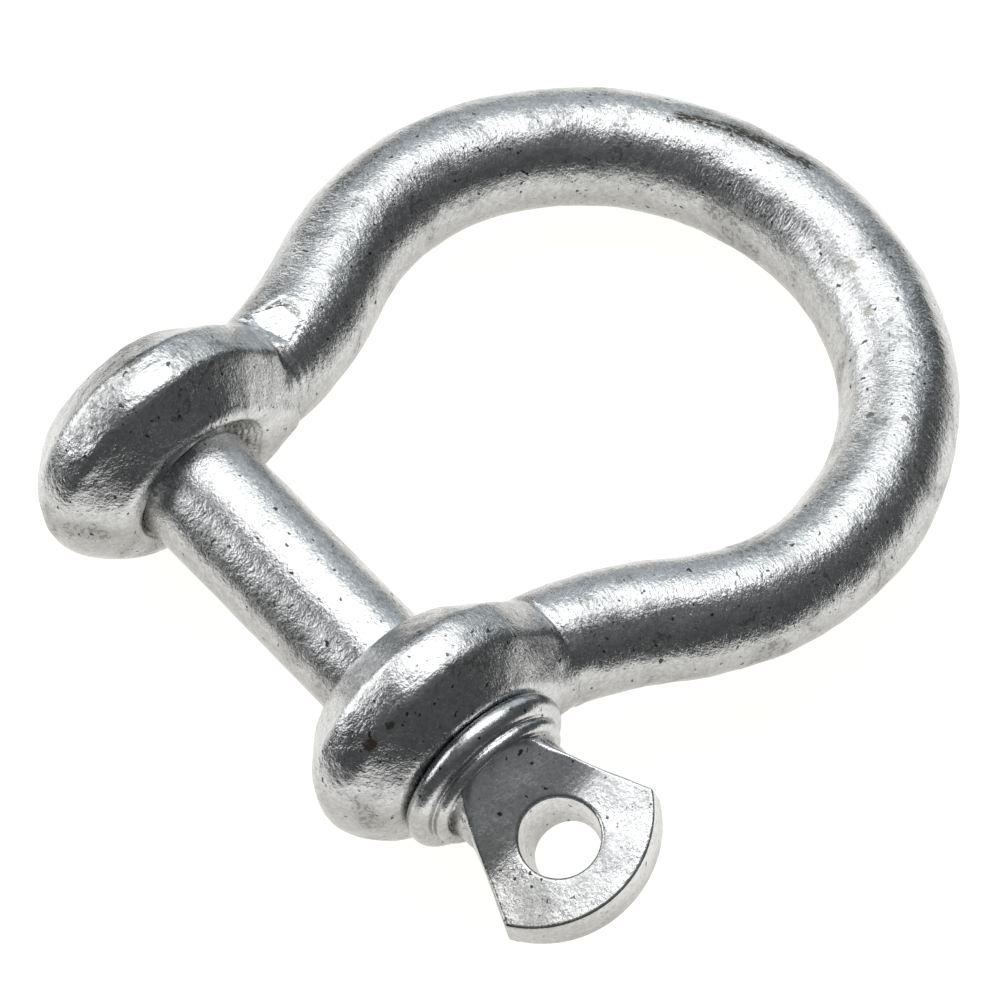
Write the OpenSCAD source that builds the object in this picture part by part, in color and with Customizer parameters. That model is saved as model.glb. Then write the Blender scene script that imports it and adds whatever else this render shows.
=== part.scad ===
// Galvanised bow shackle with a screw collar pin, lying flat.
// Origin: on the pin's axis, midway between the ears.
// +X runs along the pin to its head, +Y to the crown, +Z out of the bow's plane.

/* [Bow] */
// Diameter of the round bar that the bow is forged from
bar_d = 9.6; // [8:0.1:10]
// Widest gap between the arms, across the round of the bow
inside_w = 37.2; // [34:0.2:42]
// Length inside, from the pin's surface to the crown
inside_l = 46.4; // [42:0.2:52]
// Radius of the outward sweep between each arm and the round, on the bar's centre line
sweep_r = 31; // [24:0.5:36]

/* [Ears] */
// Gap between the ears
jaw_w = 22.6; // [18:0.2:26]
// Thickness of each ear through its boss
ear_t = 9.8; // [8:0.1:11]
// Largest diameter of each ear
ear_d = 21.8; // [20:0.2:24]
// Diameter of each ear's flat face
face_d = 15.2; // [13:0.2:16]
// Width of the band round each ear's rim
rim_w = 3.4; // [2:0.1:5]
// Diameter of the band's two edges
rim_d = 21.2; // [18:0.1:21.8]
// Distance from the pin's axis to the shoulder where each flattened neck ends
shoulder_y = 9.4; // [8.5:0.1:11]
// Length over which the shoulder narrows from the neck to the bar
shoulder_l = 2; // [1:0.1:3]
// Diameter of the neck above and below its two flats
neck_d = 12.2; // [11:0.1:13]

/* [Pin] */
// Diameter of the plain shank
pin_d = 10; // [9:0.1:10.4]
// Diameter of the plain hole in the ear beside the head
plain_hole_d = 11.4; // [11:0.1:12]
// Diameter over the thread's crests
thread_d = 9.84; // [9.6:0.02:9.9]
// Rise of the thread in one turn
pitch = 1.5; // [1:0.25:1.75]
// Depth of the thread, from crest to root
thread_depth = 0.85; // [0.5:0.05:0.95]
// Clearance round the thread's crests in its ear
thread_gap = 0.08; // [0.05:0.01:0.1]
// Diameter of the countersink at the mouth of the threaded hole
sink_d = 13.2; // [12:0.2:14]
// Depth of that countersink
sink_h = 1.7; // [1:0.1:2.5]
// How far the pin's tip stops inside the outer face of its ear
tip_inset = 0.2; // [0:0.1:1]
// Length of the plain relief between the thread and the shank
relief_l = 1.1; // [0.8:0.1:2]

/* [Head] */
// Gap left between the collar and its ear
collar_gap = 0.1; // [0.05:0.05:0.5]
// Diameter of the collar's rounded bead
collar_d = 14.8; // [13:0.1:16]
// Width of the bead
bead_w = 1.7; // [1:0.1:2]
// Diameter of the second, smaller ring
ring_d = 12.8; // [12:0.1:14]
// Distance from the bead's outer side to the middle of the second ring
ring_step = 0.5; // [0.4:0.1:1]
// Diameter of the neck between the collar and the flat eye
root_d = 10.2; // [9:0.1:11]
// Distance from the outer face of the ear to the middle of the eye's hole
eye_reach = 9.9; // [9:0.1:12]
// Diameter of the hole in the eye
eye_hole_d = 6.4; // [5:0.1:7]
// Distance from the middle of the hole back to where the eye starts to spread
eye_fan = 4.6; // [4:0.1:5]
// Distance from the middle of the hole out to the eye's two corners
eye_corner = 2.4; // [1:0.1:3]
// Distance from the middle of the hole out to the end of the eye
eye_end = 6.4; // [5.5:0.1:8]
// Thickness of the flat eye
eye_t = 4; // [3:0.1:5]
// Width across the eye's two corners
eye_w = 15.2; // [13:0.1:16]
// Width of the eye where it leaves the neck
eye_root_w = 9.8; // [8:0.1:10]
// Angle of the flat eye out of the bow's plane when the pin is tight
eye_turn = 23; // [-90:1:90]
// Radius of the rounded root of the eye's two pressed flats
coin_r = 5.1; // [4.5:0.1:5.5]
// Distance from the middle of the hole back to the centre of that root
coin_back = 3; // [2.5:0.1:3.5]
// Sideways offset of the forged head from the shank's axis
head_off = 0.7; // [0:0.1:1]

/* [Hidden] */
$fn = 96;
over = 1;
weld_gap = 0.1;
weld_swell = 0.04;

// The bow's centre line: a round of radius bow_r about [0, bow_y], which meets at
// each side a sweep about [sweep_x, sweep_y], which meets a straight arm at x = arm_x.
bar_r = bar_d / 2;
bow_r = inside_w / 2 + bar_r;
bow_y = pin_d / 2 + inside_l - inside_w / 2;
arm_x = (jaw_w + ear_t) / 2;
sweep_x = arm_x + sweep_r;
meet_a = acos(sweep_x / (bow_r + sweep_r));
sweep_y = bow_y - (bow_r + sweep_r) * sin(meet_a);

jaw_x = jaw_w / 2;
outer_x = jaw_x + ear_t;
crown_r = (ear_d * 3 + rim_d) / 8;

shank_x0 = -jaw_x - sink_h / 2;
collar_x = outer_x + collar_gap;
thread_r = thread_d / 2;
groove_r = thread_r - thread_depth;
thread_x0 = -outer_x + tip_inset;
turns = floor((shank_x0 - relief_l - thread_x0) / pitch) - 1;

// One turn of the thread, as [share of the pitch, radius]
turn_outline = [
    [-0.05, groove_r],
    [0.05, thread_r],
    [0.45, thread_r],
    [0.55, groove_r]
];

eye_x = outer_x + eye_reach;
corner_x = eye_x + eye_corner;
eye_end_x = eye_x + eye_end;
eye_fan_x = eye_x - eye_fan;
end_rise = eye_end_x - corner_x;
end_r = (end_rise * end_rise + eye_w * eye_w / 4) / (2 * end_rise);
coin_x = eye_x - coin_back;

// Small steps that shape the second ring and lead it down to the neck
ring_rise_x = 0.3;
ring_rise = 0.4;
ring_flat_x = 0.4;
ring_fall = 0.1;
neck_x = 1.4;
neck_taper = 0.3;
core_back = 1;

zinc = [0.70, 0.72, 0.73];
zinc_pin = [0.76, 0.77, 0.78];

// A round section swept about the Z axis. It stops a little short of both ends,
// where balls a hair wider than the bar join the lengths into one solid.
module bent_bar(radius, angle) {
    trim = asin(weld_gap / radius);
    rotate([0, 0, trim])
        rotate_extrude(angle = angle - 2 * trim)
            translate([radius, 0])
                circle(d = bar_d);
    for (a = [0, angle])
        rotate([0, 0, a])
            translate([radius, 0, 0])
                sphere(d = bar_d + weld_swell);
}

// A profile of [distance along X, radius] points turned about the X axis
module turned(points) {
    rotate([90, 0, 90])
        rotate_extrude()
            polygon([for (p = points) [p[1], p[0]]]);
}

module along_x(x0, x1, d) {
    translate([x0, 0, 0])
        rotate([0, 90, 0])
            cylinder(d = d, h = x1 - x0);
}

// One side's arm and outward sweep, for the +X side
module arm() {
    translate([arm_x, 0, 0])
        rotate([-90, 0, 0])
            cylinder(d = bar_d, h = sweep_y - weld_gap);
    translate([sweep_x, sweep_y, 0])
        rotate([0, 0, 180 - meet_a])
            bent_bar(sweep_r, meet_a);
}

// A forged ear: two flat faces, a chamfer each side and a crowned band round its rim
module ear() {
    translate([arm_x, 0, 0])
        turned([
            [-ear_t / 2, 0],
            [-ear_t / 2, face_d / 2],
            [-rim_w / 2, rim_d / 2],
            [-rim_w / 4, crown_r],
            [0, ear_d / 2],
            [rim_w / 4, crown_r],
            [rim_w / 2, rim_d / 2],
            [ear_t / 2, face_d / 2],
            [ear_t / 2, 0]
        ]);
}

// The neck between an ear and its arm, flattened with the ear up to a shoulder
module neck() {
    translate([arm_x, 0, 0])
        intersection() {
            rotate([-90, 0, 0]) {
                cylinder(d = neck_d, h = shoulder_y - shoulder_l / 2);
                translate([0, 0, shoulder_y - shoulder_l / 2])
                    cylinder(d1 = neck_d, d2 = bar_d, h = shoulder_l);
            }
            translate([-ear_t / 2, 0, -ear_d / 2])
                cube([ear_t, shoulder_y + over, ear_d]);
        }
}

module bow_side() {
    arm();
    ear();
    neck();
}

module bow() {
    color(zinc)
        difference() {
            union() {
                translate([0, bow_y, 0])
                    rotate([0, 0, -meet_a])
                        bent_bar(bow_r, 180 + 2 * meet_a);
                bow_side();
                mirror([1, 0, 0])
                    bow_side();
            }
            along_x(jaw_x - over, outer_x + over, plain_hole_d);
            along_x(-outer_x - over, -jaw_x + over, thread_d + 2 * thread_gap);
            turned([
                [-jaw_x + over, 0],
                [-jaw_x + over, sink_d / 2],
                [-jaw_x, sink_d / 2],
                [-jaw_x - sink_h, thread_r + thread_gap],
                [-jaw_x - sink_h, 0]
            ]);
        }
}

module pin_shank() {
    color(zinc_pin)
        along_x(shank_x0, collar_x, pin_d);
}

// The threaded end, with a relief next to the shank and a chamfered tip.
// Each turn of the thread is drawn as a ring, so that its surfaces stay true.
module pin_thread() {
    ring_x0 = thread_x0 + pitch / 2;
    color(zinc_pin)
        turned(concat(
            [[thread_x0, 0], [thread_x0, groove_r]],
            [for (i = [0 : turns], point = turn_outline)
                [ring_x0 + pitch * (i + point[0]), point[1]]],
            [[shank_x0, groove_r], [shank_x0, 0]]
        ));
}

// The flat eye seen along its hole: a neck, two spreading sides and a round end
module eye_outline() {
    intersection() {
        polygon([
            [collar_x + bead_w, -eye_root_w / 2],
            [eye_fan_x, -eye_root_w / 2],
            [corner_x, -eye_w / 2],
            [eye_end_x + over, -eye_w / 2],
            [eye_end_x + over, eye_w / 2],
            [corner_x, eye_w / 2],
            [eye_fan_x, eye_root_w / 2],
            [collar_x + bead_w, eye_root_w / 2]
        ]);
        union() {
            translate([eye_end_x - end_r, 0])
                circle(r = end_r);
            translate([collar_x, -eye_w / 2])
                square([corner_x - collar_x, eye_w]);
        }
    }
}

// The collar and the round neck in front of it
module collar() {
    bead_r = bead_w / 2;
    bead_x = collar_x + bead_r;
    ring_x = collar_x + bead_w + ring_step;
    turned(concat(
        [[collar_x, 0]],
        [for (a = [180 : -15 : 0])
            [bead_x + bead_r * cos(a), collar_d / 2 - bead_r + bead_r * sin(a)]],
        [
            [ring_x - ring_rise_x, ring_d / 2 - ring_rise],
            [ring_x, ring_d / 2],
            [ring_x + ring_flat_x, ring_d / 2 - ring_fall],
            [ring_x + neck_x, root_d / 2],
            [eye_fan_x, root_d / 2 - neck_taper],
            [eye_x - core_back, eye_t / 2],
            [eye_x - core_back, 0]
        ]
    ));
}

// What the coining dies press away, above the eye's upper face
module coined() {
    translate([0, 0, eye_t / 2])
        linear_extrude(ring_d) {
            translate([coin_x, 0])
                circle(r = coin_r);
            translate([coin_x, -eye_w / 2])
                square([eye_end_x - coin_x, eye_w]);
        }
}

module pin_head() {
    color(zinc_pin)
        rotate([eye_turn, 0, 0])
            translate([0, head_off, 0])
                difference() {
                    union() {
                        difference() {
                            collar();
                            coined();
                            mirror([0, 0, 1])
                                coined();
                        }
                        translate([0, 0, -eye_t / 2])
                            linear_extrude(eye_t)
                                eye_outline();
                    }
                    translate([eye_x, 0, -eye_t])
                        cylinder(d = eye_hole_d, h = 2 * eye_t);
                }
}

bow();
pin_shank();
pin_head();
pin_thread();
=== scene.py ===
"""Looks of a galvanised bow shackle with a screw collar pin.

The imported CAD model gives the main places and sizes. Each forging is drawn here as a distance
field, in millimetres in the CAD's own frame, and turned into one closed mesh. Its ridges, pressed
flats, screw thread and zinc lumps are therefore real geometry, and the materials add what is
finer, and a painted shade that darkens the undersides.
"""

import math

import bpy
import numpy as np
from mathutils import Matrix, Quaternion, Vector


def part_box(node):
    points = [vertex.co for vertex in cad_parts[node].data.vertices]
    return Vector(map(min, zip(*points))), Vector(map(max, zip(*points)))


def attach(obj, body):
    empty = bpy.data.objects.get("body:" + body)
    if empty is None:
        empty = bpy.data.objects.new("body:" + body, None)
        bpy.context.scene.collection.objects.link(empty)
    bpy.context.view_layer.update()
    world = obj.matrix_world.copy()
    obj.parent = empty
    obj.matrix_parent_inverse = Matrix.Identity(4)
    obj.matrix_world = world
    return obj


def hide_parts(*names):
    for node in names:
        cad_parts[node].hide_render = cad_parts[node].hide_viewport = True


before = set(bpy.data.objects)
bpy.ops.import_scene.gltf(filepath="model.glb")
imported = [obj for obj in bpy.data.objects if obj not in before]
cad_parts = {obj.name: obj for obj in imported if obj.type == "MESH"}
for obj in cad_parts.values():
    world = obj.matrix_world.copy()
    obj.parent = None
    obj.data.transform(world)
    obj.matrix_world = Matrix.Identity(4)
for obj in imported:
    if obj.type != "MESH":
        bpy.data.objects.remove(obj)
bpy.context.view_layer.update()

MM = 0.001


def corners_mm(node):
    """Lowest and highest corner of a CAD node, in millimetres."""
    low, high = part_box(node)
    return np.array(low) / MM, np.array(high) / MM


BOW_LOW, BOW_HIGH = corners_mm("bow")
SHANK_LOW, SHANK_HIGH = corners_mm("pin_shank")
HEAD_LOW, HEAD_HIGH = corners_mm("pin_head")
THREAD_LOW, THREAD_HIGH = corners_mm("pin_thread")

# The bow, in the CAD's frame: X along the pin, Y to the crown, Z out of the bow's plane
BAR_R = 4.8
BOW_R = BOW_HIGH[0] - BAR_R
BOW_Y = BOW_HIGH[1] - BAR_R - BOW_R
JAW_X = 11.3
OUTER_X = 21.1
ARM_X = (JAW_X + OUTER_X) / 2
SWEEP_R = 31.0
SWEEP_X = ARM_X + SWEEP_R
MEET = math.acos(SWEEP_X / (BOW_R + SWEEP_R))
SWEEP_Y = BOW_Y - (BOW_R + SWEEP_R) * math.sin(MEET)

# The ears
EAR_R = BOW_HIGH[2]
BARREL = 0.06
OUTER_CONE = 28.8
JAW_CONE = -3.9
NECK_END_Y = 10.7
SHOULDER = math.radians(50)
PLAIN_HOLE_R = 5.7
SINK_R = 6.3
SINK_SHIFT_Y = 0.75
TOOL_STEP = 0.42
BURR = 0.10
BURR_R = 0.28
GUTTER = 0.16
DRAW_STEP = 0.7
DRAW_PLACE = (-13.2, 10.6, 3.0)
# Where metal is dented: place, reach and depth
DENTS = [
    ((20.9, 11.6, 0.6), 1.3, 0.35),
    ((-11.9, 11.9, 1.8), 1.4, 0.3),
    ((18.6, 31.0, 0.0), 5.0, 0.45),
]

# The five-sided flat struck on the bar beside the ear at -X
FLAT_Z = 4.3
FLAT_LEAN = (0.10, 0.08)
FLAT_RISE = 0.45
FLAT_MIDDLE = (-17.4, 12.9)
FLAT_CORNERS = [(-19.5, 11.8), (-18.6, 14.3), (-16.4, 14.4), (-15.4, 12.3), (-18.0, 11.6)]

# The pin
PIN_R = SHANK_HIGH[2]
THREAD_R = THREAD_HIGH[2]
THREAD_DEPTH = 0.85
PITCH = 1.5
THREAD_GAP = 0.08
LAP = 0.3

# The pin's forged head
EYE_TURN = math.radians(22.8)
HEAD_OFF = 0.66
COLLAR_BACK = 0.29
BEAD_X = 22.1
BEAD_MID_R = 6.5
BEAD_R = 0.92
RING_X = 23.45
RING_MID_R = 5.6
RING_R = 0.55
NECK_R = 5.05
NECK_X = 24.0
PRESS_END_X = 29.1
PRESS_SLOPE = 0.32
EYE_T = 4.0
EYE_HALF_W = 4.8
EYE_SPREAD = 0.42
EYE_SPREAD_X = 26.1
EYE_DRAFT = 0.09
EYE_HOLE_X = OUTER_X + 9.86
EYE_HOLE_R = 2.86
HOLE_DRAFT = 0.15
EYE_END_X = HEAD_HIGH[0]
EYE_END_R = 8.85
DIE_X = 28.0
DIE_W = 0.2
DIE_R = 4.9


# Shapes as distance fields -------------------------------------------------------------------

def smooth_min(a, b, k):
    """The smaller of two distances, blended over a width k."""
    h = np.clip(0.5 + 0.5 * (b - a) / k, 0, 1)
    return b + (a - b) * h - k * h * (1 - h)


def smooth_max(a, b, k):
    return -smooth_min(-a, -b, k)


def smooth_step(low, high, x):
    t = np.clip((x - low) / (high - low), 0, 1)
    return t * t * (3 - 2 * t)


def bump_at(x, y, z, centre, radius):
    """1 at a place on the surface, falling smoothly to 0 a few radii away."""
    square = (x - centre[0]) ** 2 + (y - centre[1]) ** 2 + (z - centre[2]) ** 2
    return np.exp(-square / radius ** 2)


def centre_line(x, y):
    """Where points lie beside the bow's centre line, in its plane.

    Gives the distance from the line, the signed offset towards its outer side, and the length
    along the line from the crown.
    """
    a = np.abs(x)
    turn = np.clip(np.arctan2(a, y - BOW_Y), 0, math.pi / 2 + MEET)
    near = BOW_R * np.sin(turn), BOW_Y + BOW_R * np.cos(turn)
    best = np.hypot(a - near[0], y - near[1])
    offset = np.hypot(a, y - BOW_Y) - BOW_R
    along = BOW_R * turn
    crown_l = BOW_R * (math.pi / 2 + MEET)

    turn = np.clip(np.arctan2(y - SWEEP_Y, SWEEP_X - a), 0, MEET)
    near = SWEEP_X - SWEEP_R * np.cos(turn), SWEEP_Y + SWEEP_R * np.sin(turn)
    gap = np.hypot(a - near[0], y - near[1])
    closer = gap < best
    offset = np.where(closer, SWEEP_R - np.hypot(a - SWEEP_X, y - SWEEP_Y), offset)
    along = np.where(closer, crown_l + SWEEP_R * (MEET - turn), along)
    best = np.minimum(gap, best)

    near_y = np.clip(y, 0, SWEEP_Y)
    gap = np.hypot(a - ARM_X, y - near_y)
    closer = gap < best
    offset = np.where(closer, a - ARM_X, offset)
    along = np.where(closer, crown_l + SWEEP_R * MEET + SWEEP_Y - near_y, along)
    return np.minimum(gap, best), offset, along


def helix(x, y, z, gap):
    """Distance outside a right-hand screw thread about the X axis, grown by a gap."""
    r = np.hypot(y, z)
    phase = (x - THREAD_LOW[0]) / PITCH - np.arctan2(z, y) / (2 * math.pi)
    from_crest = np.abs(phase - np.floor(phase) - 0.5)
    flank = smooth_step(0.17, 0.37, from_crest)
    return 0.8 * (r - (THREAD_R + gap - THREAD_DEPTH * flank))


def ear(x, y, z):
    """One forged ear, with shoulders that run straight up to the bow's bar."""
    u = np.abs(x)
    r = np.hypot(y, z)
    reach = y * math.cos(SHOULDER) + np.abs(z) * math.sin(SHOULDER)
    reach = np.where(np.arctan2(np.abs(z), y) < SHOULDER, reach, r)
    crown = reach - (EAR_R - BARREL * (u - ARM_X) ** 2)
    outer = (u + reach - OUTER_CONE) * math.sqrt(0.5)
    inner = (reach - u - JAW_CONE) * math.sqrt(0.5)
    # ridges are crisp on the upper side and worn round underneath
    soft = 0.25 + 1.9 * smooth_step(1.0, -8.0, z + 0.3 * y)
    body = smooth_max(smooth_max(crown, outer, soft), inner, soft)
    body = smooth_max(body, y - NECK_END_Y, 0.4)
    body = smooth_max(body, u - OUTER_X, 0.3 + 0.5 * soft)
    return smooth_max(body, JAW_X - u, 0.3 + 0.5 * soft)


def flat_outside(x, y):
    """Distance outside the five-sided flat struck on the bar beside the ear at -X."""
    outside = np.full_like(x, -9.0)
    for (x0, y0), (x1, y1) in zip(FLAT_CORNERS, FLAT_CORNERS[1:] + FLAT_CORNERS[:1]):
        length = math.hypot(x1 - x0, y1 - y0)
        edge = ((x - x0) * (y0 - y1) + (y - y0) * (x1 - x0)) / length
        outside = np.maximum(outside, edge)
    return outside


def pressed_flat(x, y, z):
    """The flat's own plane, which rises clear of the bar outside its five sides."""
    lean = FLAT_LEAN[0] * (x - FLAT_MIDDLE[0]) + FLAT_LEAN[1] * (y - FLAT_MIDDLE[1])
    return z - FLAT_Z - lean - FLAT_RISE * np.maximum(flat_outside(x, y), 0)


def tapped_hole(x, y, z):
    """The threaded hole in the ear at -X, countersunk at the jaw and broken at its far edge."""
    depth = -JAW_X - x
    grooves = 0.02 * np.cos(2 * math.pi * depth / TOOL_STEP)
    sink = 0.75 * (SINK_R - 0.75 * depth + grooves - np.hypot(y - SINK_SHIFT_Y, z))
    mouth = 0.75 * (THREAD_R + 0.7 - (x + OUTER_X) - np.hypot(y, z))
    return np.maximum(np.maximum(sink, mouth), -helix(x, y, z, THREAD_GAP))


def bow_field(x, y, z):
    """The bar bent into the bow, with both ears, the struck flat and the two holes."""
    gap, offset, along = centre_line(x, y)
    bar = smooth_max(np.hypot(gap, z) - BAR_R, pressed_flat(x, y, z), 0.12)
    body = ear(x, y, z)
    both = smooth_min(bar, body, 0.12)
    # a thin burr stands along the crease, with a narrow gutter in the bar beyond it
    both = both - BURR * np.exp(-(bar ** 2 + body ** 2) / BURR_R ** 2)
    both = both + GUTTER * np.exp(-((body - 0.4) / 0.3) ** 2 - (bar / 0.8) ** 2)
    for place, reach, depth in DENTS:
        both = both + depth * bump_at(x, y, z, place, reach)
    # draw marks of the press run beside the crease on the jaw side of the ear at -X
    lines = np.cos(2 * math.pi * (body - 0.3 * bar) / DRAW_STEP)
    both = both + 0.05 * lines * bump_at(x, y, z, DRAW_PLACE, 2.2)
    hole = np.where(x > 0, PLAIN_HOLE_R - np.hypot(y, z), tapped_hole(x, y, z))
    return smooth_max(both, hole, 0.35)


def shank_field(x, y, z):
    """The plain shank, which runs a little way into the collar."""
    r = np.hypot(y, z)
    ends = np.maximum(SHANK_LOW[0] - x, x - (SHANK_HIGH[0] + LAP))
    return smooth_max(r - PIN_R, ends, 0.4)


def thread_field(x, y, z):
    """The screw thread, from its chamfered tip to the plain relief beside the shank."""
    r = np.hypot(y, z)
    tip = 0.75 * (r - (THREAD_R - THREAD_DEPTH) - 1.1 * (x - THREAD_LOW[0]))
    relief = r - (THREAD_R - THREAD_DEPTH)
    near_shank = smooth_step(THREAD_HIGH[0] - 1.5, THREAD_HIGH[0] - 0.9, x)
    side = helix(x, y, z, 0) * (1 - near_shank) + relief * near_shank
    ends = np.maximum(THREAD_LOW[0] - x, x - (THREAD_HIGH[0] + LAP))
    return smooth_max(smooth_max(side, tip, 0.15), ends, 0.15)


def soft_past(start, x, k):
    """How far x is past a start, or 0 before it, rounded over a length k."""
    return k * np.logaddexp(0, (x - start) / k)


def collar_rings(x, w, n):
    """The collar's rounded bead, the disc that fills it, and the smaller ring before it."""
    collar_r = np.hypot(w + COLLAR_BACK, n)
    ring_r = np.hypot(w + 0.5 * COLLAR_BACK, n)
    bead = np.hypot(0.92 * (x - BEAD_X), collar_r - BEAD_MID_R) - BEAD_R
    disc = smooth_max(collar_r - 6.7, np.abs(x - 22.05) - 0.85, 0.3)
    ring = np.hypot(0.9 * (x - RING_X), ring_r - RING_MID_R) - RING_R
    return smooth_min(smooth_min(bead, disc, 0.25), ring, 0.3)


def eye_outline(x, w, n):
    """The eye seen along its hole: two spreading sides, a round end and a round root."""
    half_w = EYE_HALF_W + EYE_SPREAD * soft_past(EYE_SPREAD_X, x, 0.5) - EYE_DRAFT * n
    side = (np.abs(w) - half_w) * 0.93
    end = np.hypot(x - (EYE_END_X - EYE_END_R), w) - EYE_END_R
    root = (np.hypot(w, n) - (NECK_R + soft_past(26.2, x, 0.6))) * 0.85
    outline = smooth_max(smooth_max(side, end, 0.12), root, 0.4)
    return smooth_max(outline, 23.5 - x, 0.3)


def pressed_away(x, w, n):
    """What the two dies press off the round neck, above and below the flat eye."""
    half_t = EYE_T / 2 + PRESS_SLOPE * soft_past(-PRESS_END_X, -x, 0.5)
    die = np.hypot(np.minimum(x - DIE_X, 0), w - DIE_W) - DIE_R - 1.6 * np.maximum(x - 25.4, 0)
    wall = 0.5 * (np.abs(n) - half_t)
    return smooth_max((half_t - np.abs(n)) * 0.9, (die - wall) * 0.8, 0.35)


def head_field(x, y, z):
    """The collar, its neck and the flat eye, pressed out of one forging.

    Two lengths are measured off the pin's axis: w across the flat eye and n through it.
    """
    c, s = math.cos(EYE_TURN), math.sin(EYE_TURN)
    w = c * y + s * z - HEAD_OFF
    n = c * z - s * y
    neck = smooth_max(np.hypot(w, n) - NECK_R, np.abs(x - NECK_X) - 2.0, 0.5)
    body = np.minimum(neck, eye_outline(x, w, n))
    body = smooth_max(body, -pressed_away(x, w, n), 0.25)
    shape = smooth_min(collar_rings(x, w, n), body, 0.3)
    hole = EYE_HOLE_R + HOLE_DRAFT * n - np.hypot(x - EYE_HOLE_X, w)
    return smooth_max(shape, hole, 0.3)


# Meshing -------------------------------------------------------------------------------------

def grid_values(field, low, high, step):
    """A field's values on a grid of points, one slab along X at a time."""
    counts = np.ceil((high - low) / step).astype(int) + 1
    axes = [low[i] + step * np.arange(counts[i]) for i in range(3)]
    slabs = []
    for x in axes[0]:
        y, z = np.meshgrid(axes[1], axes[2], indexing="ij")
        slabs.append(field(np.full_like(y, x), y, z))
    return np.stack(slabs)


def net_points(values):
    """One point in each cell that the surface crosses, in cell units.

    Gives each cell's index too, and which grid points are inside.
    """
    inside = values < 0
    some = np.zeros(tuple(n - 1 for n in values.shape), bool)
    every = np.ones_like(some)
    for corner in np.ndindex(2, 2, 2):
        part = inside[tuple(slice(c, n - 1 + c) for c, n in zip(corner, values.shape))]
        some |= part
        every &= part
    cells = np.argwhere(some & ~every)
    number = np.full(some.shape, -1)
    number[tuple(cells.T)] = np.arange(len(cells))
    total = np.zeros((len(cells), 3))
    hits = np.zeros(len(cells))
    for axis in range(3):
        ahead = np.eye(3, dtype=int)[axis]
        for pair in np.ndindex(2, 2):
            start = cells + np.insert(pair, axis, 0)
            a = values[tuple(start.T)]
            b = values[tuple((start + ahead).T)]
            crossed = (a < 0) != (b < 0)
            t = np.where(crossed, a / np.where(crossed, a - b, 1), 0)
            total += np.where(crossed[:, None], start + t[:, None] * ahead, 0)
            hits += crossed
    return total / hits[:, None], number, inside


def net_faces(number, inside):
    """Four-sided faces, one round each grid edge that the surface crosses, facing outwards."""
    faces = []
    for axis in range(3):
        e1, e2 = (axis + 1) % 3, (axis + 2) % 3
        first = inside.take(range(inside.shape[axis] - 1), axis)
        second = inside.take(range(1, inside.shape[axis]), axis)
        edges = np.argwhere(first != second)
        limit = np.array(number.shape)
        fits = (edges[:, e1] > 0) & (edges[:, e2] > 0)
        fits &= (edges[:, e1] < limit[e1]) & (edges[:, e2] < limit[e2])
        edges = edges[fits]
        quad = []
        for d1, d2 in ((-1, -1), (0, -1), (0, 0), (-1, 0)):
            cell = edges.copy()
            cell[:, e1] += d1
            cell[:, e2] += d2
            quad.append(number[tuple(cell.T)])
        quad = np.stack(quad, 1)
        leaving = first[tuple(edges.T)]
        faces.append(np.where(leaving[:, None], quad, quad[:, ::-1]))
    return np.concatenate(faces)


def slope(field, points):
    """The field's value and gradient at points."""
    small = 0.02
    x, y, z = points.T
    gradient = np.stack([
        field(x + small, y, z) - field(x - small, y, z),
        field(x, y + small, z) - field(x, y - small, z),
        field(x, y, z + small) - field(x, y, z - small),
    ], 1) / (2 * small)
    return field(x, y, z), gradient


def unit(vectors):
    return vectors / np.maximum(np.linalg.norm(vectors, axis=1), 1e-6)[:, None]


def surface(field, low, high, step):
    """A closed mesh where a distance field is zero: points, unit normals and four-sided faces."""
    margin = 2 * step
    low, high = low - margin, high + margin
    points, number, inside = net_points(grid_values(field, low, high, step))
    points = low + step * points
    for _ in range(3):
        value, gradient = slope(field, points)
        move = value[:, None] * gradient / np.maximum((gradient ** 2).sum(1), 0.2)[:, None]
        size = np.linalg.norm(move, axis=1)
        points = points - move * np.minimum(1, 0.5 * step / np.maximum(size, 1e-9))[:, None]
    return points, unit(slope(field, points)[1]), net_faces(number, inside)


def lumps(points, size, seed):
    """Smooth seeded random values from -1 to 1 that change over size millimetres."""
    table = np.random.default_rng(seed).uniform(-1, 1, (32, 32, 32))
    at = points / size
    base = np.floor(at).astype(int)
    t = at - base
    t = t * t * (3 - 2 * t)
    value = np.zeros(len(points))
    for corner in np.ndindex(2, 2, 2):
        weight = np.prod(np.where(corner, t, 1 - t), 1)
        cell = (base + corner) % 32
        value += weight * table[tuple(cell.T)]
    return value


def roughen(points, normals, relief):
    """Points moved out along their normals by a relief, and the normals of the moved surface."""
    small = 0.05
    steps = small * np.eye(3)
    tilt = np.stack([relief(points + d) - relief(points - d) for d in steps], 1) / (2 * small)
    tilt -= (tilt * normals).sum(1)[:, None] * normals
    return points + normals * relief(points)[:, None], unit(normals - tilt)


def paint(mesh, name, vectors):
    """Keep a vector for each point, which the material reads by its name."""
    layer = mesh.attributes.new(name, "FLOAT_VECTOR", "POINT")
    layer.data.foreach_set("vector", vectors.astype(np.float32).ravel())


def add_piece(name, points, normals, faces, grain, material):
    """A visual piece in the scene, smooth by its own normals."""
    mesh = bpy.data.meshes.new(name)
    mesh.from_pydata((points * MM).tolist(), [], faces.tolist())
    mesh.polygons.foreach_set("use_smooth", np.ones(len(faces), bool))
    mesh.normals_split_custom_set_from_vertices(normals.tolist())
    paint(mesh, "grain", grain)
    mesh.materials.append(material)
    mesh.update()
    piece = bpy.data.objects.new(name, mesh)
    bpy.context.scene.collection.objects.link(piece)
    return piece


# Wear and zinc -------------------------------------------------------------------------------

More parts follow.
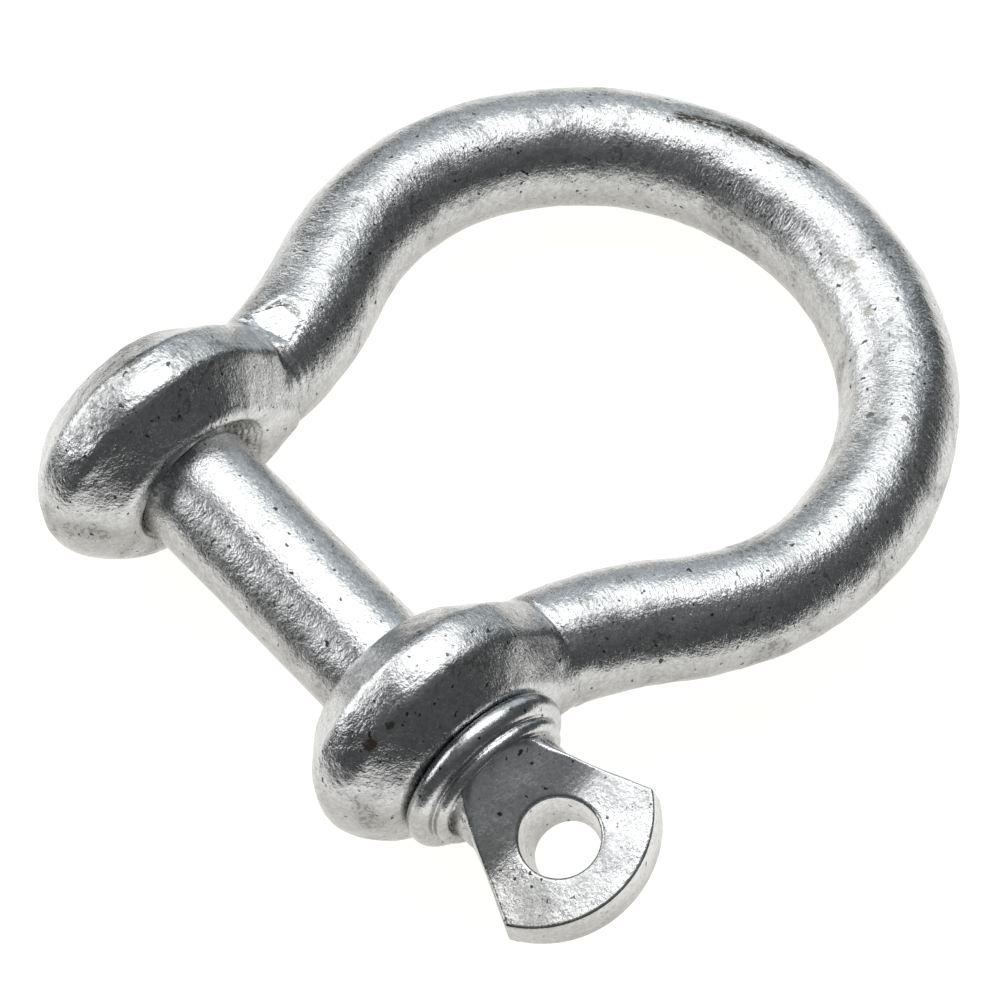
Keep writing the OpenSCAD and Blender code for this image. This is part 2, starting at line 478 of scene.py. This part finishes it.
# Each mark on the bow: its place and size in millimetres, and its colour
RUST = (0.16, 0.07, 0.035)
DIRT = (0.10, 0.085, 0.065)
PALE_DIRT = (0.40, 0.39, 0.35)
CLEAN = (0.92, 0.93, 0.94)
BOW_MARKS = [
    ((18.0, -8.5, 6.6), 0.5, RUST),
    ((18.2, -6.8, 8.0), 0.35, DIRT),
    ((19.3, 46.3, 4.8), 0.3, DIRT),
    ((17.1, 44.8, 4.1), 0.3, DIRT),
    ((5.5, 53.5, 4.4), 0.5, PALE_DIRT),
    ((9.5, 51.5, 4.2), 0.35, PALE_DIRT),
]
# The dark seam on the crown: from one angle off the bow's top to another, and how far out
SEAM_FROM = math.radians(9)
SEAM_TO = math.radians(35)
SEAM_OUT = (1.8, 0.6)
FAR = 9.0

# The zinc: how many grains of each noise fit in a metre, or in a millimetre along, across and up
FINE_SCALE = 5200
MIDDLE_SCALE = 2300
BROAD_SCALE = 260
PIT_SCALE = 1900
STROKE_GRAIN = (4.2, 1.4, 1.4)
SEAM_GRAIN = (1.6, 5.0, 5.0)
PATCH = (0.40, 0.41, 0.42)
CRUST = (0.22, 0.22, 0.21)
PIT = (0.08, 0.08, 0.08)
# painted shade: the base colour is multiplied by this colour on the underside
UNDERSIDE_PAINTED_SHADE = (0.66, 0.65, 0.625)


# Materials -----------------------------------------------------------------------------------

class Nodes:
    """Short forms for building one material's node tree."""

    def __init__(self, name):
        self.material = bpy.data.materials.new(name)
        self.material.use_nodes = True
        self.tree = self.material.node_tree
        self.shader = self.tree.nodes["Principled BSDF"]

    def link(self, source, target):
        self.tree.links.new(source, target)

    def attribute(self, name):
        node = self.tree.nodes.new("ShaderNodeAttribute")
        node.attribute_name = name
        return node.outputs["Vector"]

    def place(self, scale):
        """Object coordinates, in units of 1 / scale metres along each axis."""
        coords = self.tree.nodes.new("ShaderNodeTexCoord").outputs["Object"]
        return self.scaled(coords, scale)

    def scaled(self, vector, scale):
        node = self.tree.nodes.new("ShaderNodeMapping")
        node.inputs["Scale"].default_value = scale
        self.link(vector, node.inputs["Vector"])
        return node.outputs["Vector"]

    def noise(self, vector, detail=2.0, rough=0.5, distortion=0.0):
        node = self.tree.nodes.new("ShaderNodeTexNoise")
        node.inputs["Scale"].default_value = 1.0
        node.inputs["Detail"].default_value = detail
        node.inputs["Roughness"].default_value = rough
        node.inputs["Distortion"].default_value = distortion
        self.link(vector, node.inputs["Vector"])
        return node.outputs["Fac"]

    def ramp(self, value, low, high, out_low=0.0, out_high=1.0):
        """A value led smoothly from out_low at low to out_high at high."""
        node = self.tree.nodes.new("ShaderNodeMapRange")
        node.interpolation_type = "SMOOTHSTEP"
        node.inputs["From Min"].default_value = low
        node.inputs["From Max"].default_value = high
        node.inputs["To Min"].default_value = out_low
        node.inputs["To Max"].default_value = out_high
        self.link(value, node.inputs["Value"])
        return node.outputs["Result"]

    def maths(self, kind, a, b):
        node = self.tree.nodes.new("ShaderNodeMath")
        node.operation = kind
        for socket, value in zip(node.inputs, (a, b)):
            if isinstance(value, (int, float)):
                socket.default_value = value
            else:
                self.link(value, socket)
        return node.outputs["Value"]

    def blend(self, factor, a, b):
        """Colour a where factor is 0, b where it is 1. Either is a colour or a socket."""
        node = self.tree.nodes.new("ShaderNodeMix")
        node.data_type = "RGBA"
        self.link(factor, node.inputs[0])
        for socket, value in ((node.inputs[6], a), (node.inputs[7], b)):
            if isinstance(value, tuple):
                socket.default_value = (*value, 1)
            else:
                self.link(value, socket)
        return node.outputs[2]

    def multiply(self, a, b):
        node = self.tree.nodes.new("ShaderNodeMix")
        node.data_type = "RGBA"
        node.blend_type = "MULTIPLY"
        node.inputs[0].default_value = 1.0
        self.link(a, node.inputs[6])
        self.link(b, node.inputs[7])
        return node.outputs[2]

    def spot(self, place, size, ragged):
        """1 within a ragged spot of a size, both in millimetres, and 0 outside it."""
        coords = self.tree.nodes.new("ShaderNodeTexCoord").outputs["Object"]
        node = self.tree.nodes.new("ShaderNodeVectorMath")
        node.operation = "DISTANCE"
        node.inputs[1].default_value = tuple(MM * c for c in place)
        self.link(coords, node.inputs[0])
        reach = self.maths("MULTIPLY", ragged, 2.4 * size * MM)
        inside = self.maths("SUBTRACT", reach, node.outputs["Value"])
        return self.ramp(inside, 0.0, 0.3 * size * MM, 0.0, 0.75)

    def parts(self, vector):
        """The X, Y and Z of a vector, by name."""
        node = self.tree.nodes.new("ShaderNodeSeparateXYZ")
        self.link(vector, node.inputs["Vector"])
        return node.outputs

    def bump(self, height, distance, below=None):
        node = self.tree.nodes.new("ShaderNodeBump")
        node.inputs["Strength"].default_value = 1.0
        node.inputs["Distance"].default_value = distance
        self.link(height, node.inputs["Height"])
        if below is not None:
            self.link(below, node.inputs["Normal"])
        return node.outputs["Normal"]


def marked(n, colour, flat, grain, ragged, marks):
    """A colour with a piece's stains, the dark seam on the crown and the clean struck flat."""
    for place, size, stain in marks:
        colour = n.blend(n.spot(place, size, ragged), colour, stain)
    cracks = n.noise(n.scaled(grain, SEAM_GRAIN), 3.0, 0.6, 0.6)
    near_seam = n.ramp(n.parts(n.attribute("wear"))["Y"], 0.8, 0.3)
    seam = n.maths("MULTIPLY", near_seam, n.ramp(cracks, 0.43, 0.49))
    return n.blend(flat, n.blend(seam, colour, DIRT), CLEAN)


def zinc(name, bright, mottle, strokes, speckle, gloss, dirt, marks=()):
    """Hot-dip zinc: mottled bright metal with fine strokes, dull patches and small dark pits.

    The three heights are in millimetres. Gloss is the lowest roughness. Dirt is the share of the
    patches that is drawn. Each mark is a place, a size and a colour. A piece with marks has the
    struck flat and the dark seam too, by its wear attribute. Painted shade darkens the underside.
    """
    n = Nodes(name)
    grain = n.attribute("grain")
    fine = n.noise(n.place(3 * (FINE_SCALE,)), 3.0, 0.6)
    middle = n.noise(n.place(3 * (MIDDLE_SCALE,)), 3.0, 0.6, 0.4)
    broad = n.noise(n.place(3 * (BROAD_SCALE,)), 2.0, 0.5, 0.4)
    pits = n.noise(n.place(3 * (PIT_SCALE,)), 2.0, 0.4)
    stroke = n.noise(n.scaled(grain, STROKE_GRAIN), 3.0, 0.6, 0.4)

    dull = tuple(0.8 * c for c in bright)
    colour = n.blend(n.ramp(middle, 0.35, 0.65), dull, bright)
    patch = n.ramp(broad, 0.54, 0.66, 0.0, 0.25 * dirt)
    colour = n.blend(patch, colour, PATCH)
    ragged = n.ramp(middle, 0.50, 0.56, 0.0, 0.7 * dirt)
    crust = n.maths("MULTIPLY", n.ramp(broad, 0.56, 0.62), ragged)
    colour = n.blend(crust, colour, CRUST)
    colour = n.blend(n.ramp(pits, 0.69, 0.73), colour, PIT)
    if marks:
        flat = n.ramp(n.parts(n.attribute("wear"))["X"], 0.08, -0.08)
        colour = marked(n, colour, flat, grain, middle, marks)
    # painted shade: the base colour grows darker towards the underside, from grain Z 3 mm down to
    # -1 mm
    under = n.ramp(n.parts(grain)["Z"], 3.0, -1.0)
    shade = n.blend(under, (1.0, 1.0, 1.0), UNDERSIDE_PAINTED_SHADE)
    n.link(n.multiply(colour, shade), n.shader.inputs["Base Color"])
    n.shader.inputs["Metallic"].default_value = 1.0

    worn = n.ramp(broad, 0.4, 0.65, 0.0, 0.12)
    rough = n.maths("ADD", n.ramp(fine, 0.3, 0.7, gloss, gloss + 0.16), worn)
    n.link(rough, n.shader.inputs["Roughness"])

    if marks:
        kept = n.maths("SUBTRACT", 1.0, flat)
        stroke = n.maths("MULTIPLY", stroke, kept)
        fine = n.maths("MULTIPLY", fine, kept)
    normal = n.bump(middle, mottle * MM)
    normal = n.bump(stroke, strokes * MM, normal)
    normal = n.bump(fine, speckle * MM, normal)
    n.link(normal, n.shader.inputs["Normal"])
    return n.material


# Pieces --------------------------------------------------------------------------------------

# Grid steps of the meshes, in millimetres, and the room that the head needs round its box
BOW_STEP = 0.3
SHANK_STEP = 0.22
THREAD_STEP = 0.12
HEAD_STEP = 0.15
HEAD_ROOM = (0.2, 0.5, 0.5)


def bow_relief(points):
    """Height of the zinc's lumps on the bow: none in the holes or on the struck flat."""
    height = 0.09 * lumps(points, 4.6, 1) + 0.05 * lumps(points, 2.1, 2)
    height = height + 0.03 * lumps(points, 1.0, 3)
    x, y, z = points.T
    bare = smooth_step(6.6, 7.4, np.hypot(y, z))
    struck = (z > 0) * (1 - smooth_step(0.0, 0.6, flat_outside(x, y)))
    return height * bare * (1 - struck)


def bow_wear(points):
    """How far each point is outside the struck flat, and outside the dark seam on the crown.

    Points on the underside count as far from both.
    """
    x, y, z = points.T
    far = np.where(z > 0, 0.0, FAR)
    angle = np.arctan2(-x, y - BOW_Y)
    share = np.clip((angle - SEAM_FROM) / (SEAM_TO - SEAM_FROM), 0, 1)
    past = np.abs(angle - SEAM_FROM - share * (SEAM_TO - SEAM_FROM)) * BOW_R
    out = np.hypot(x, y - BOW_Y) - BOW_R - SEAM_OUT[0] - share * (SEAM_OUT[1] - SEAM_OUT[0])
    return np.stack([flat_outside(x, y) + far, np.hypot(past, out) + far, far], 1)


def make_bow(material):
    step = BOW_STEP
    points, normals, faces = surface(bow_field, BOW_LOW, BOW_HIGH, step)
    points, normals = roughen(points, normals, bow_relief)
    _, offset, along = centre_line(points[:, 0], points[:, 1])
    grain = np.stack([along * np.sign(points[:, 0]), offset, points[:, 2]], 1)
    piece = add_piece("bow_forging", points, normals, faces, grain, material)
    paint(piece.data, "wear", bow_wear(points))
    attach(piece, "bow")
    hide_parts("bow")


def shank_relief(points):
    """Height of the lumps on the shank, which fade out where it enters the ear at -X."""
    height = 0.035 * lumps(points, 3.0, 11) + 0.02 * lumps(points, 1.2, 12) - 0.02
    return height * smooth_step(SHANK_LOW[0], -JAW_X, points[:, 0])


def make_shank(material):
    points, normals, faces = surface(shank_field, SHANK_LOW, SHANK_HIGH, SHANK_STEP)
    points, normals = roughen(points, normals, shank_relief)
    piece = add_piece("pin_shank_bar", points, normals, faces, points, material)
    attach(piece, "shank")
    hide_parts("pin_shank")


def make_thread(material):
    points, normals, faces = surface(thread_field, THREAD_LOW, THREAD_HIGH, THREAD_STEP)
    piece = add_piece("pin_screw_thread", points, normals, faces, points, material)
    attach(piece, "screw")
    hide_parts("pin_thread")


def head_relief(points):
    """Height of the faint lumps on the head."""
    return 0.03 * lumps(points, 2.6, 21) + 0.012 * lumps(points, 1.1, 22)


def make_head(material):
    room = np.array(HEAD_ROOM)
    low, high = HEAD_LOW - room, HEAD_HIGH + room
    points, normals, faces = surface(head_field, low, high, HEAD_STEP)
    points, normals = roughen(points, normals, head_relief)
    piece = add_piece("pin_head_forging", points, normals, faces, points, material)
    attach(piece, "screw")
    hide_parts("pin_head")


# Studio --------------------------------------------------------------------------------------

# The camera's place round a point near the middle of the shackle, and its lens
AIM = Vector((3.77, 18.12, 0.0)) * MM
CAMERA_AZIMUTH = math.radians(-50.474)
CAMERA_ELEVATION = math.radians(53.536)
CAMERA_ROLL = math.radians(-11.145)
CAMERA_DISTANCE = 552.75 * MM
CAMERA_LENS = 255.87
SENSOR = 36.0
FLOOR_HALF = 66 * MM
FLOOR_DROP = 0.1
ROOM_LIGHT = (0.09, 0.22)


def direction(azimuth, elevation):
    """A unit vector, with azimuth turned from +X towards +Y."""
    flat = math.cos(elevation)
    return Vector((flat * math.cos(azimuth), flat * math.sin(azimuth), math.sin(elevation)))


def add_camera():
    data = bpy.data.cameras.new("camera")
    data.lens = CAMERA_LENS
    data.sensor_width = SENSOR
    data.clip_start = 0.01
    camera = bpy.data.objects.new("camera", data)
    away = direction(CAMERA_AZIMUTH, CAMERA_ELEVATION)
    camera.location = AIM + CAMERA_DISTANCE * away
    turn = away.to_track_quat("Z", "Y") @ Quaternion((0, 0, 1), -CAMERA_ROLL)
    camera.rotation_euler = turn.to_euler()
    bpy.context.scene.collection.objects.link(camera)
    bpy.context.scene.camera = camera


def add_softbox(name, azimuth, elevation, distance, size, radiance, colour=(1, 1, 1)):
    """A rectangular area light that faces the shackle. Radiance is its own brightness."""
    data = bpy.data.lights.new(name, "AREA")
    data.shape = "RECTANGLE"
    data.size, data.size_y = size
    data.energy = radiance * math.pi * data.size * data.size_y
    data.color = colour
    light = bpy.data.objects.new(name, data)
    away = direction(math.radians(azimuth), math.radians(elevation))
    light.location = AIM + distance * away
    light.rotation_euler = away.to_track_quat("Z", "Y").to_euler()
    bpy.context.scene.collection.objects.link(light)


def add_floor():
    """A small pale floor that leans with the ears and the crown, just under them.

    Past its edge the dim room shows in the metal, as dark rims low on the bars.
    """
    crown_y = BOW_HIGH[1] - BAR_R
    lean = math.asin((EAR_R - BAR_R) / crown_y)
    normal = Vector((0, -math.sin(lean), math.cos(lean)))
    middle = Vector((0, 0.5 * crown_y * MM, 0))
    drop = float((EAR_R + FLOOR_DROP) * MM + normal.dot(middle))
    half = FLOOR_HALF
    mesh = bpy.data.meshes.new("floor")
    corner = [(-half, -half, 0), (half, -half, 0), (half, half, 0), (-half, half, 0)]
    mesh.from_pydata(corner, [], [(0, 1, 2, 3)])
    floor = bpy.data.objects.new("floor", mesh)
    floor.rotation_euler = normal.to_track_quat("Z", "Y").to_euler()
    floor.location = middle - normal * drop
    n = Nodes("pale_floor")
    n.shader.inputs["Base Color"].default_value = (0.3, 0.3, 0.3, 1)
    n.shader.inputs["Roughness"].default_value = 1.0
    n.shader.inputs["Specular IOR Level"].default_value = 0.0
    n.shader.inputs["Emission Color"].default_value = (1.0, 0.98, 0.95, 1)
    n.shader.inputs["Emission Strength"].default_value = 0.96
    mesh.materials.append(n.material)
    bpy.context.scene.collection.objects.link(floor)


def add_world():
    """A dim room with a lighter ceiling, which the camera sees as a plain white backdrop."""
    world = bpy.data.worlds.new("room")
    world.use_nodes = True
    tree = world.node_tree
    room = tree.nodes["Background"]
    room.inputs["Color"].default_value = (0.95, 0.98, 1.0, 1)
    coords = tree.nodes.new("ShaderNodeTexCoord")
    height = tree.nodes.new("ShaderNodeSeparateXYZ")
    ceiling = tree.nodes.new("ShaderNodeMapRange")
    ceiling.inputs["From Min"].default_value = 0.5
    ceiling.inputs["From Max"].default_value = 1.0
    ceiling.inputs["To Min"].default_value = ROOM_LIGHT[0]
    ceiling.inputs["To Max"].default_value = ROOM_LIGHT[1]
    tree.links.new(coords.outputs["Generated"], height.inputs["Vector"])
    tree.links.new(height.outputs["Z"], ceiling.inputs["Value"])
    tree.links.new(ceiling.outputs["Result"], room.inputs["Strength"])
    backdrop = tree.nodes.new("ShaderNodeBackground")
    backdrop.inputs["Color"].default_value = (1, 1, 1, 1)
    backdrop.inputs["Strength"].default_value = 1.0
    path = tree.nodes.new("ShaderNodeLightPath")
    mix = tree.nodes.new("ShaderNodeMixShader")
    tree.links.new(path.outputs["Is Camera Ray"], mix.inputs[0])
    tree.links.new(room.outputs[0], mix.inputs[1])
    tree.links.new(backdrop.outputs[0], mix.inputs[2])
    tree.links.new(mix.outputs[0], tree.nodes["World Output"].inputs["Surface"])
    bpy.context.scene.world = world


def add_studio():
    add_camera()
    add_floor()
    add_world()
    add_softbox("key_left", -152, 17, 1.0, (1.20, 0.75), 2.1)
    add_softbox("top", 153, 68, 1.0, (1.05, 0.75), 2.4)
    add_softbox("back_fill", 130, 22, 1.3, (1.30, 0.75), 0.65, (0.86, 0.95, 1.0))
    view = bpy.context.scene.view_settings
    view.view_transform = "Standard"
    view.look = "None"


add_studio()
bow_colour = (0.66, 0.67, 0.675)
bow_zinc = zinc("galvanised_bow", bow_colour, 0.05, 0.06, 0.03, 0.09, 1.0, BOW_MARKS)
pin_zinc = zinc("galvanised_pin", (0.68, 0.69, 0.695), 0.05, 0.015, 0.035, 0.07, 0.8)
head_zinc = zinc("galvanised_head", (0.70, 0.71, 0.715), 0.02, 0.02, 0.010, 0.12, 0.25)
make_bow(bow_zinc)
make_shank(pin_zinc)
make_thread(pin_zinc)
make_head(head_zinc)
